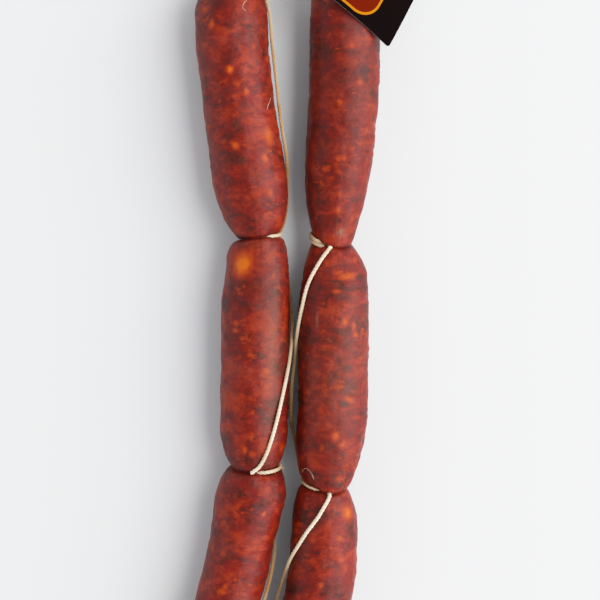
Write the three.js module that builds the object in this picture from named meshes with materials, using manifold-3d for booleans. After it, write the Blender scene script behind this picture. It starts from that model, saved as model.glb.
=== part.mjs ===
// A string of cured sausage links: two strands of three links, tied with twine, and a card tag.
// Millimetres, +Z up. The strands lie side by side on z = 0 and run along Y, top links at +Y.
import * as THREE from 'three';
import { mergeVertices } from 'three/addons/utils/BufferGeometryUtils.js';
import Module from 'manifold-3d';

// Casing
const SIDES = 24; // facets round a link
const ROUNDNESS = 0.96; // height of a link over its width
const REST_FLAT = 0.35; // depth of the flat that a link lies on
const NECK_HEIGHT = 14; // middle of a tied neck above the table
const BODY_STEPS = 9; // facets along the even middle of a link
const CAP_STEPS = [0.02, 0.07, 0.16, 0.3, 0.48, 0.7]; // shares of a rounded end, from its tie
const LEAN_REACH = 34; // how far from a tie the slant of the tie fades out
const TAIL_LENGTH = 7; // casing left past the first and the last tie
const TAIL_RADIUS = 4.4;
const TAIL_SHAPE = [[0, 0], [0.3, 0.75], [0.7, 1], [1, 0.35]]; // share of length, share of flare

// Twine
const TWINE_RADIUS = 0.8;
const TWINE_SIDES = 6;
const TWINE_STEP = 3.4;
const CLEARANCE = 0.32; // gap between twine and casing
const RING_STEP = 24; // degrees between points round a tie
const RUN_POINTS = 26; // points along one link

// Tag
const TAG_LENGTH = 54;
const TAG_WIDTH = 45;
const TAG_THICKNESS = 0.5;
const TAG_CORNER = 1.4;
const TAG_HOLE_RADIUS = 2.5;
const TAG_HOLE_INSET = 6;
const TAG_TURN = THREE.MathUtils.degToRad(36); // its long side against X
const TAG_CURL = 120; // radius that the card is curled to
const TAG_REST_ANGLE = THREE.MathUtils.degToRad(30); // where it touches the right top link
const TAG_GAP = 0.6;
const TAG_LOW_CORNER = new THREE.Vector2(39.6, 114.8); // its drooping corner, from above
const TAG_FACET = 8;

// A strand's ties run from the top down: place, neck radius, half the width of the groove,
// slants of the groove across (X) and up (Z), and how the twine goes round it.
// Each link lies between two ties: its line at the upper and the lower tie, its bow, its radii,
// and the length and shape of its rounded ends. Swells are its own bumps and dents.
// A run is the twine's route over a link: distance from the upper tie, angle from straight up, lift.
const LEFT = {
	name: 'left',
	ties: [
		{ y: 153.9, x: -27.0, neck: 3.4, half: 4.8, slantX: 0, slantZ: 0, turn: 400, spread: 0.95, shift: -2.2 },
		{ y: 28.1, x: -18.1, neck: 8.2, half: 1.5, slantX: 0.12, slantZ: -0.06, turn: -340, spread: 0.2, shift: 0 },
		{ y: -74.9, x: -19.1, neck: 8.2, half: 2.2, slantX: -0.03, slantZ: -0.24, turn: -610, spread: 1.0, stack: 2.0, shift: 0 },
		{ y: -180.9, x: -43.5, neck: 3.4, half: 2.6, slantX: 0.1, slantZ: 0, turn: 400, spread: 0.95, shift: 0 },
	],
	links: [
		{ line: [-32.8, -18.8], bow: -2.1, radii: [15.9, 16.4], upper: [24, 0.62], lower: [22, 0.83],
			swells: [[92, 90, 1.1, 14], [38, -90, 0.6, 12], [21, 90, 0.8, 14]] },
		{ line: [-19.1, -21.0], bow: -0.2, radii: [15.5, 15.2], upper: [38, 0.35], lower: [17, 0.53],
			swells: [[30, -90, 0.3, 10], [70, 40, 0.4, 16]] },
		{ line: [-20.3, -48.3], bow: 3.7, radii: [15.2, 14.8], upper: [14, 0.35], lower: [24, 0.62],
			swells: [[16, 90, 0.6, 9], [34, 80, -0.5, 12]] },
	],
	runs: [
		[[8, 62, 0], [21, 78, 0.1], [40, 85, 0.5], [57, 90, 0.8], [72, 88, 0.6], [86, 93, 0.2], [104, 106, 0], [121, 105, 0]],
		[[4, 125, 0], [27, 112, 0], [38, 95, 0], [50.5, 77, 0], [66, 55, 0], [82, 37.6, 0], [94.5, 20.5, 0], [99.6, 0, 0]],
		[[4.5, 110, 0], [20, 120, 0], [32, 104, 0], [39, 92, 0.3], [52, 88, 0.3], [62, 88, 0.2], [84, 97, 0], [99, 100, 0]],
	],
};
const RIGHT = {
	name: 'right',
	ties: [
		{ y: 152.1, x: 13.5, neck: 3.4, half: 4.8, slantX: 0, slantZ: 0, turn: -400, spread: 0.95, shift: -2.2 },
		{ y: 27.2, x: 14.2, neck: 8.2, half: 2.2, slantX: -0.18, slantZ: -0.42, turn: 475, spread: 1.05, shift: 0 },
		{ y: -82.6, x: 10.3, neck: 8.2, half: 2.2, slantX: -0.1, slantZ: -0.36, turn: 485, spread: 1.05, shift: 0 },
		{ y: -182.7, x: -3.2, neck: 3.4, half: 2.6, slantX: 0.08, slantZ: 0, turn: -400, spread: 0.95, shift: 0 },
	],
	links: [
		{ line: [20.4, 15.4], bow: 1.3, radii: [15.9, 14.8], upper: [24, 0.62], lower: [43, 0.69],
			swells: [[54, 90, 0.9, 20], [94, -90, -0.6, 14]] },
		{ line: [15.7, 12.7], bow: 0.9, radii: [14.7, 16.2], upper: [24, 0.98], lower: [30, 0.5],
			swells: [[39, -90, 0.9, 14], [77, -90, -0.6, 12], [14, 40, 0.4, 8]] },
		{ line: [10.7, -7.3], bow: 6.3, radii: [14.1, 15.6], upper: [19, 0.49], lower: [24, 0.62],
			swells: [[44, 90, 0.7, 12], [20, 30, 0.4, 9]] },
	],
	runs: [
		[[8, -108, 0], [30, -122, 0], [60, -128, 0], [92, -125, 0], [112, -120, 0], [120.5, -120, 0]],
		[[4.2, -5, 0], [10.6, -34, 0], [19, -49, 0], [30, -60, 0], [42, -73, 0], [54, -91, 0.3], [66, -96, 1.8], [79, -103, 2.1],
			[94, -116, 0.8], [105.5, -120, 0]],
		[[4.2, 3, 0], [16.4, -25, 0], [27, -48, 0], [37, -75, 0], [46, -92, 0.9], [55, -99, 1.8], [72, -106, 1.2], [93, -108, 0]],
	],
};

// The twine between the strands' top ties: it sags from one to the other and holds the tag
const HANGER_SPREAD = 0.8;
const HANGER_SHIFT = 2.2;
const HANGER_LEFT = { from: -300, turn: 400 }; // degrees round the left tie
const HANGER_RIGHT = { from: -100, turn: 520 };
const HANGER_SAG = [[-17.5, 160.2, 9.5], [-11, 162.6, 6.6], [-4, 162.8, 6.4], [3, 160.8, 8.6]];
const HANGER_LOOP = [[19.2, 156.2, 20], [19.4, 158.2, 26], [18.4, 160.4, 31.5], [17.5, 161.3, 34.6], [16.4, 162.6, 37.7],
	[13.8, 164.8, 38.6], [11.2, 166.6, 36.6], [10, 166, 31.5], [10.2, 163.4, 25.5], [11.2, 160.2, 20.6]];

const MIDDLE = new THREE.Vector2(1.6, -5.1); // middle of the whole in plan

const CASING_COLOUR = '#7b2c1f';
const TWINE_COLOUR = '#dcc6a8';
const TAG_COLOUR = '#1b1416';

const { clamp, degToRad, lerp } = THREE.MathUtils;

// How much of its full girth a link has at a share of its rounded end
function rise(share, shape) {
	return (1 - (1 - clamp(share, 0, 1)) ** 2) ** shape;
}

function smooth(share) {
	const t = clamp(share, 0, 1);
	return t * t * (3 - 2 * t);
}

// The bumps and dents of a link, at a distance below its upper tie
function swell(link, distance, angle) {
	let height = 0;
	for (const [at, side, most, reach] of link.swells) {
		const facing = Math.max(0, Math.cos(angle - degToRad(side)));
		height += most * Math.exp(-(((distance - at) / reach) ** 2)) * facing ** 2;
	}
	return height;
}

// Radius of the short casing end past a tie, from share 0 at the tie to 1 at its cut
function tailRadius(neck, share) {
	const k = TAIL_SHAPE.findIndex(([at]) => at >= share);
	const [b, flareB] = TAIL_SHAPE[Math.max(k, 1)];
	const [a, flareA] = TAIL_SHAPE[Math.max(k, 1) - 1];
	return neck + (TAIL_RADIUS - neck) * lerp(flareA, flareB, (share - a) / (b - a));
}

// The cross-section of a strand at height y along it: centre, radius, slants and its link, if any
function sectionAt(strand, y) {
	const { ties, links } = strand;
	const first = ties[0];
	const last = ties[ties.length - 1];
	for (const [tie, past] of [[first, y - first.y], [last, last.y - y]]) {
		if (past > 0) {
			const share = (past - tie.half) / TAIL_LENGTH;
			const radius = share > 0 ? tailRadius(tie.neck, Math.min(share, 1)) : tie.neck;
			return { x: tie.x, z: NECK_HEIGHT, radius, slantX: tie.slantX, slantZ: tie.slantZ };
		}
	}
	const k = Math.min(ties.findIndex((tie) => tie.y <= y) - 1, links.length - 1);
	const [link, above, below] = [links[Math.max(k, 0)], ties[Math.max(k, 0)], ties[Math.max(k, 0) + 1]];
	const distance = above.y - y;
	const left = y - below.y;
	const share = distance / (above.y - below.y);
	const fromTop = rise((distance - above.half) / link.upper[0], link.upper[1]);
	const fromFoot = rise((left - below.half) / link.lower[0], link.lower[1]);
	const body = lerp(link.radii[0], link.radii[1], share);
	const line = lerp(link.line[0], link.line[1], share) + link.bow * 4 * share * (1 - share);
	const mix = (full, atTop, atFoot) => full * (fromTop + fromFoot - 1) + atTop * (1 - fromTop) + atFoot * (1 - fromFoot);
	const lean = (key) => above[key] * (1 - smooth(distance / LEAN_REACH)) + below[key] * (1 - smooth(left / LEAN_REACH));
	return {
		x: mix(line, above.x, below.x),
		z: mix(ROUNDNESS * body - REST_FLAT, NECK_HEIGHT, NECK_HEIGHT),
		radius: mix(body, above.neck, below.neck),
		slantX: lean('slantX'),
		slantZ: lean('slantZ'),
		link,
		distance,
		full: fromTop + fromFoot - 1,
	};
}

// The point of a strand's skin at height y and an angle (radians) from straight up, towards +X
function skin(strand, y, angle) {
	const section = sectionAt(strand, y);
	const bump = section.link ? swell(section.link, section.distance, angle) * section.full : 0;
	const radius = section.radius + bump;
	const across = radius * Math.sin(angle);
	const z = Math.max(0, section.z + ROUNDNESS * radius * Math.cos(angle));
	return new THREE.Vector3(section.x + across, y + section.slantX * across + section.slantZ * (z - section.z), z);
}

// The point at a height over the skin, along its normal
function overSkin(strand, y, angle, height) {
	const step = 0.05;
	const point = skin(strand, y, angle);
	const along = skin(strand, y + step, angle).sub(skin(strand, y - step, angle));
	const round = skin(strand, y, angle + step).sub(skin(strand, y, angle - step));
	return point.addScaledVector(round.cross(along).normalize(), height);
}

// Heights of the rings of facets, from the lower end to the upper one
function stations(strand) {
	const { ties, links } = strand;
	const heights = [];
	const first = ties[0];
	const last = ties[ties.length - 1];
	for (const [share] of TAIL_SHAPE) {
		heights.push(first.y + first.half + share * TAIL_LENGTH, last.y - last.half - share * TAIL_LENGTH);
	}
	links.forEach((link, k) => {
		const top = ties[k].y - ties[k].half;
		const foot = ties[k + 1].y + ties[k + 1].half;
		heights.push(top, foot);
		for (const share of CAP_STEPS) {
			heights.push(top - share * link.upper[0], foot + share * link.lower[0]);
		}
		const [high, low] = [top - link.upper[0], foot + link.lower[0]];
		for (let i = 0; i <= BODY_STEPS; i++) {
			heights.push(lerp(high, low, i / BODY_STEPS));
		}
	});
	return heights.sort((a, b) => a - b);
}

// One strand: a lathe of its rings, bent to its line
function casing(strand) {
	const heights = stations(strand);
	const ends = [heights[0], heights[heights.length - 1]];
	const profile = [new THREE.Vector2(0, ends[0]), ...heights.map((y) => new THREE.Vector2(1, y)), new THREE.Vector2(0, ends[1])];
	const geometry = new THREE.LatheGeometry(profile, SIDES);
	const position = geometry.attributes.position;
	const count = profile.length;
	for (let i = 0; i < position.count; i++) {
		const place = profile[i % count];
		const angle = ((Math.floor(i / count) % SIDES) + 0.5) * ((2 * Math.PI) / SIDES);
		const section = sectionAt(strand, place.y);
		const point = place.x > 0 ? skin(strand, place.y, angle) : new THREE.Vector3(section.x, place.y, section.z);
		position.setXYZ(i, point.x, point.y, point.z);
	}
	return geometry;
}

// A round tie: points [height, angle, lift] from a starting angle, all in a strand's own terms
function ring(tie, start, turn, spread, shift, stack = 0) {
	const steps = Math.ceil(Math.abs(turn) / RING_STEP);
	const points = [];
	for (let i = 0; i <= steps; i++) {
		const share = i / steps;
		points.push([tie.y + shift + spread * Math.cos(Math.PI * share), start + turn * share, stack * share]);
	}
	return points;
}

// The whole route of a strand's twine, as points [height, angle, lift]
function twineRoute(strand) {
	const { ties, runs } = strand;
	const route = [];
	let angle = runs[0][0][1] - ties[0].turn;
	ties.forEach((tie, k) => {
		const round = ring(tie, angle, tie.turn, tie.spread, tie.shift, tie.stack);
		route.push(...round);
		angle = round[round.length - 1][1];
		if (k < runs.length) {
			const whole = 360 * Math.round((angle - runs[k][0][1]) / 360);
			const hand = new THREE.CatmullRomCurve3(runs[k].map(([d, a, lift]) => new THREE.Vector3(d, a + whole, lift)));
			for (const point of hand.getPoints(RUN_POINTS)) {
				route.push([tie.y - point.x, point.y, Math.max(0, point.z)]);
			}
			angle = route[route.length - 1][1];
		}
	});
	return route;
}

function twineTube(points) {
	const path = new THREE.CatmullRomCurve3(points, false, 'centripetal');
	path.arcLengthDivisions = points.length * 12;
	const section = new THREE.Shape(new THREE.EllipseCurve(0, 0, TWINE_RADIUS, TWINE_RADIUS).getPoints(TWINE_SIDES).slice(0, -1));
	const steps = Math.round(path.getLength() / TWINE_STEP);
	return new THREE.ExtrudeGeometry(section, { steps, extrudePath: path });
}

function routePoints(strand, route) {
	const height = TWINE_RADIUS + CLEARANCE;
	return route.map(([y, angle, lift]) => overSkin(strand, y, degToRad(angle), height + lift));
}

// The twine that joins the strands at the top and carries the tag
function hanger() {
	const start = ring(LEFT.ties[0], HANGER_LEFT.from, HANGER_LEFT.turn, HANGER_SPREAD, HANGER_SHIFT);
	const middle = ring(RIGHT.ties[0], HANGER_RIGHT.from, HANGER_RIGHT.turn, HANGER_SPREAD, HANGER_SHIFT);
	const [sag, loop] = [HANGER_SAG, HANGER_LOOP].map((places) => places.map((place) => new THREE.Vector3(...place)));
	return [...routePoints(LEFT, start), ...sag, ...routePoints(RIGHT, middle), ...loop];
}

// The card: a rounded rectangle with a hole, cut into facets and curled over the right top link
async function tagCard() {
	const wasm = await Module();
	wasm.setup();
	const round = TAG_CORNER;
	const outline = new THREE.Shape();
	outline.absarc(TAG_WIDTH - round, TAG_LENGTH - round, round, 0, Math.PI / 2);
	outline.absarc(round, TAG_LENGTH - round, round, Math.PI / 2, Math.PI);
	outline.absarc(round, round, round, Math.PI, 1.5 * Math.PI);
	outline.absarc(TAG_WIDTH - round, round, round, 1.5 * Math.PI, 2 * Math.PI);
	const hole = new THREE.Path().absarc(TAG_WIDTH / 2, TAG_LENGTH - TAG_HOLE_INSET, TAG_HOLE_RADIUS, 0, 2 * Math.PI, true);
	outline.holes.push(hole);
	const flat = new THREE.ExtrudeGeometry(outline, { depth: TAG_THICKNESS, bevelEnabled: false, curveSegments: 4 });
	flat.deleteAttribute('normal');
	flat.deleteAttribute('uv');
	const merged = mergeVertices(flat, 1e-4);
	const solid = new wasm.Manifold(new wasm.Mesh({
		numProp: 3,
		vertProperties: new Float32Array(merged.attributes.position.array),
		triVerts: new Uint32Array(merged.index.array),
	}));
	const fine = solid.refineToLength(TAG_FACET).getMesh();
	const geometry = new THREE.BufferGeometry();
	geometry.setAttribute('position', new THREE.BufferAttribute(new Float32Array(fine.vertProperties), 3));
	geometry.setIndex(new THREE.BufferAttribute(new Uint32Array(fine.triVerts), 1));
	curlTag(geometry.attributes.position);
	return geometry;
}

// Lays the flat card's points on a cylinder along Y that touches the right top link
function curlTag(position) {
	const section = sectionAt(RIGHT, TAG_LOW_CORNER.y);
	const inward = section.radius + TAG_GAP - TAG_CURL;
	const middle = new THREE.Vector2(section.x + inward * Math.sin(TAG_REST_ANGLE), section.z + inward * Math.cos(TAG_REST_ANGLE));
	const cornerAngle = Math.asin((TAG_LOW_CORNER.x - middle.x) / TAG_CURL);
	for (let i = 0; i < position.count; i++) {
		const [across, along, up] = [position.getX(i), position.getY(i), position.getZ(i)];
		const sideways = -along * Math.cos(TAG_TURN) + across * Math.sin(TAG_TURN);
		const angle = cornerAngle + sideways / TAG_CURL;
		const radius = TAG_CURL + up;
		const y = TAG_LOW_CORNER.y + along * Math.sin(TAG_TURN) + across * Math.cos(TAG_TURN);
		position.setXYZ(i, middle.x + radius * Math.sin(angle), y, middle.y + radius * Math.cos(angle));
	}
}

const MATERIALS = {
	casing: new THREE.MeshStandardMaterial({ color: CASING_COLOUR, roughness: 0.45, metalness: 0 }),
	twine: new THREE.MeshStandardMaterial({ color: TWINE_COLOUR, roughness: 0.9, metalness: 0 }),
	tag: new THREE.MeshStandardMaterial({ color: TAG_COLOUR, roughness: 0.5, metalness: 0 }),
};

const string = new THREE.Group();

function add(name, geometry, finish) {
	const mesh = new THREE.Mesh(geometry, MATERIALS[finish].clone());
	mesh.name = name;
	string.add(mesh);
}

for (const strand of [LEFT, RIGHT]) {
	add(`links_${strand.name}`, casing(strand), 'casing');
	add(`twine_${strand.name}`, twineTube(routePoints(strand, twineRoute(strand))), 'twine');
}
add('twine_hanger', twineTube(hanger()), 'twine');
add('tag', await tagCard(), 'tag');

// The origin is the middle of the whole, on the table
string.position.set(-MIDDLE.x, -MIDDLE.y, 0);

export default string;
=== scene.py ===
"""Dress a packed string of sausage links: casing, twine, card tag, table, light and camera."""

import logging
import math
from dataclasses import dataclass, field
from enum import Enum

import bpy
import numpy as np
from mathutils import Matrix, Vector, noise
from mathutils.geometry import delaunay_2d_cdt


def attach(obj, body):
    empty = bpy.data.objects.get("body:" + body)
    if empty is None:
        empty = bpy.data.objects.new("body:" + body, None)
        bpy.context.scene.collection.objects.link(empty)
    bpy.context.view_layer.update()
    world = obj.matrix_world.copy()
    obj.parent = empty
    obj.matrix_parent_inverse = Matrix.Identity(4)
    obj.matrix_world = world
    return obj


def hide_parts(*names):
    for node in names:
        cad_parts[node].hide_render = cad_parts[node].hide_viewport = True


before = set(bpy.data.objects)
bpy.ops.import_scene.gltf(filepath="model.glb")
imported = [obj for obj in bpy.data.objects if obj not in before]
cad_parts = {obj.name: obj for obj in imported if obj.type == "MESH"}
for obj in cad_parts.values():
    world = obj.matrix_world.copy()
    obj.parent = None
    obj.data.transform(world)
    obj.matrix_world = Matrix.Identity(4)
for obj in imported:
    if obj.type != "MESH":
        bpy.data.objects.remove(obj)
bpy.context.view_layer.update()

log = logging.getLogger("sausage_links")

MM = 0.001
MIDDLE = np.array([1.6, -5.1, 0.0])  # middle of the whole in plan, in the sizes' own frame, mm
SEED = 7

# Values shared with the part's own source, lengths in mm
ROUNDNESS = 0.96  # height of a link's section over its width
REST_FLAT = 0.35  # how much of a link's underside is cut off by the table
NECK_HEIGHT = 14.0  # height of the ties' middles
LEAN_REACH = 34.0  # how far from a tie its slant fades out
TAIL_LENGTH = 7.0
TAIL_RADIUS = 4.4
TAIL_SHARES = (0, 0.3, 0.7, 1)  # shares of the tail's length
TAIL_FLARES = (0, 0.75, 1, 0.35)  # how much of its full girth it has there
TWINE_RADIUS = 0.8
CLEARANCE = 0.32  # between the twine and the skin
RING_STEP = 24.0  # degrees between the points of the twine round a tie
RUN_POINTS = 26  # stretches of a run of twine over a link

# Where links' ends close over a tie's twine
CLOSING = 4.0  # how far each end is drawn over it, mm
CLOSING_REACH = 12.0  # how far from the tie that fades out, mm
CLOSING_EDGE = 22.0  # degrees over which it sets in
CINCH = 2.2  # how much deeper the twine lies there, mm
CREASE = 1.6  # depth of the sharp crease between them, mm
CREASE_WIDTH = 0.55  # half its width, mm

# How marks are laid on the casing
MARK_FALLOFF = 0.9  # 1 for a soft bell, more for a flatter middle
MARK_GRAIN = 2.6  # size of the ragged bits of their outlines along the strand, mm
MARK_RAGGED = 0.7  # how far those stick out, mm
TIE_SHADE = 0.6  # strength of the painted shade in the crease round a tie
TIE_SHADE_WIDTH = 1.4  # half its width, mm

PRINT_UNIT = 100.0  # mm of the card for 1 in its mesh colours

Colour = tuple[float, float, float, float]


def colour(code: str) -> Colour:
    """Turn a hex colour as seen on a screen into Blender's linear one.

    Args:
        code: Six hex digits after a hash sign.

    Returns:
        Red, green, blue and alpha from 0 to 1.
    """
    parts = [int(code[k:k + 2], 16) / 255 for k in (1, 3, 5)]
    linear = [p / 12.92 if p <= 0.04045 else ((p + 0.055) / 1.055) ** 2.4 for p in parts]
    return (linear[0], linear[1], linear[2], 1.0)


def rise(share: np.ndarray, shape: float) -> np.ndarray:
    """How much of its full girth a link has at a share of its rounded end's length."""
    return (1 - (1 - np.clip(share, 0, 1)) ** 2) ** shape


def smooth(share: np.ndarray) -> np.ndarray:
    """Ease from 0 to 1."""
    t = np.clip(share, 0, 1)
    return t * t * (3 - 2 * t)


class Value:
    """One output of a node tree, with arithmetic that adds the nodes it needs."""

    def __init__(self, tree: bpy.types.NodeTree, socket: bpy.types.NodeSocket) -> None:
        """Wrap an output socket of a tree."""
        self.tree = tree
        self.socket = socket

    def math(self, operation: str, *others: "float | Value") -> "Value":
        """Add a Math node with this value as its first input.

        Args:
            operation: The node's operation.
            others: Its other inputs.

        Returns:
            The node's output.
        """
        node = self.tree.nodes.new("ShaderNodeMath")
        node.operation = operation
        for slot, value in zip(node.inputs, (self, *others)):
            put(self.tree, slot, value)
        return Value(self.tree, node.outputs[0])

    def __add__(self, other: "float | Value") -> "Value":
        """Sum of two values."""
        return self.math("ADD", other)

    def __sub__(self, other: "float | Value") -> "Value":
        """Difference of two values."""
        return self.math("SUBTRACT", other)

    def __rsub__(self, other: "float | Value") -> "Value":
        """A number less this value."""
        return self.math("MULTIPLY", -1.0).math("ADD", other)

    def __mul__(self, other: "float | Value") -> "Value":
        """Product of two values."""
        return self.math("MULTIPLY", other)

    def larger(self, other: "float | Value") -> "Value":
        """The larger of two values."""
        return self.math("MAXIMUM", other)

    def between(self, low: float, high: float) -> "Value":
        """Ease from 0 at low to 1 at high, or the other way where low is the higher.

        Args:
            low: Where the result is 0.
            high: Where the result is 1.

        Returns:
            The eased value.
        """
        node = self.tree.nodes.new("ShaderNodeMapRange")
        node.interpolation_type = "SMOOTHSTEP"
        put(self.tree, node.inputs["Value"], self)
        up = low < high
        node.inputs["From Min"].default_value = min(low, high)
        node.inputs["From Max"].default_value = max(low, high)
        node.inputs["To Min"].default_value = 0.0 if up else 1.0
        node.inputs["To Max"].default_value = 1.0 if up else 0.0
        return Value(self.tree, node.outputs["Result"])


def put(tree: bpy.types.NodeTree, slot: bpy.types.NodeSocket, value: object) -> None:
    """Link a value to an input, or set the input to a plain number, vector or colour.

    Args:
        tree: The tree of the input.
        slot: The input.
        value: A Value, or what the input's default becomes.
    """
    if isinstance(value, Value):
        tree.links.new(value.socket, slot)
    else:
        slot.default_value = value


class Surface:
    """A node material that is built from expressions."""

    def __init__(self, name: str) -> None:
        """Make an empty material.

        Args:
            name: The material's name.
        """
        self.material = bpy.data.materials.new(name)
        self.material.use_nodes = True
        self.tree = self.material.node_tree
        self.tree.nodes.clear()

    def add(self, kind: str, inputs: dict[str, object], settings: dict[str, object] | None = None,
            output: str | int = 0) -> Value:
        """Add a node.

        Args:
            kind: The node's type.
            inputs: A value or a link for each input that isn't left as it is.
            settings: The node's own settings.
            output: Which output to return.

        Returns:
            That output.
        """
        node = self.tree.nodes.new(kind)
        for key, value in (settings or {}).items():
            setattr(node, key, value)
        for key, value in inputs.items():
            put(self.tree, node.inputs[key], value)
        return Value(self.tree, node.outputs[output])

    def place(self, stretch: tuple[float, float, float] = (1.0, 1.0, 1.0)) -> Value:
        """The point in the object's own frame in metres, times a factor for each axis."""
        point = self.add("ShaderNodeTexCoord", {}, output="Object")
        return self.vector("MULTIPLY", point, stretch)

    def vector(self, operation: str, first: Value, second: object) -> Value:
        """Join two vectors by a Vector Math node.

        Args:
            operation: The node's operation.
            first: Its first vector.
            second: Its second vector, a Value or three numbers.

        Returns:
            The joined vector.
        """
        node = self.tree.nodes.new("ShaderNodeVectorMath")
        node.operation = operation
        put(self.tree, node.inputs[0], first)
        put(self.tree, node.inputs[1], second)
        return Value(self.tree, node.outputs[0])

    def noise(self, place: Value, size: float, detail: float = 2.0, roughness: float = 0.5,
              warp: float = 0.0, output: str = "Fac") -> Value:
        """Soft noise from 0 to 1.

        Args:
            place: Where it is sampled, in metres.
            size: Size of its features in metres.
            detail: How many finer layers it has.
            roughness: How strong those are.
            warp: How much it is distorted.
            output: Fac or Color.

        Returns:
            The noise.
        """
        inputs = {"Vector": place, "Scale": 1 / size, "Detail": detail, "Roughness": roughness,
                  "Distortion": warp}
        return self.add("ShaderNodeTexNoise", inputs, output=output)

    def cells(self, place: Value, size: float, output: str) -> Value:
        """Round cells of about a size in metres: their Distance or their random Color."""
        return self.add("ShaderNodeTexVoronoi", {"Vector": place, "Scale": 1 / size}, output=output)

    def blend(self, first: object, second: object, share: object) -> Value:
        """Mix two colours.

        Args:
            first: The colour at share 0.
            second: The colour at share 1.
            share: From 0 to 1.

        Returns:
            The mixed colour.
        """
        node = self.tree.nodes.new("ShaderNodeMix")
        node.data_type = "RGBA"
        put(self.tree, node.inputs["Factor"], share)
        put(self.tree, node.inputs[6], first)
        put(self.tree, node.inputs[7], second)
        return Value(self.tree, node.outputs[2])

    def channel(self, source: Value, name: str) -> Value:
        """One channel of a colour."""
        return self.add("ShaderNodeSeparateColor", {"Color": source}, output=name)

    def bump(self, height: Value, depth: float, strength: float = 1.0) -> Value:
        """A normal from a height from 0 to 1 that stands for a depth in metres."""
        return self.add("ShaderNodeBump", {"Height": height, "Distance": depth, "Strength": strength})

    def finish(self, inputs: dict[str, object]) -> bpy.types.Material:
        """Close the material with a Principled shader.

        Args:
            inputs: The shader's inputs that aren't left as they are.

        Returns:
            The material.
        """
        shader = self.add("ShaderNodeBsdfPrincipled", inputs)
        end = self.tree.nodes.new("ShaderNodeOutputMaterial")
        put(self.tree, end.inputs["Surface"], shader)
        return self.material


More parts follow.
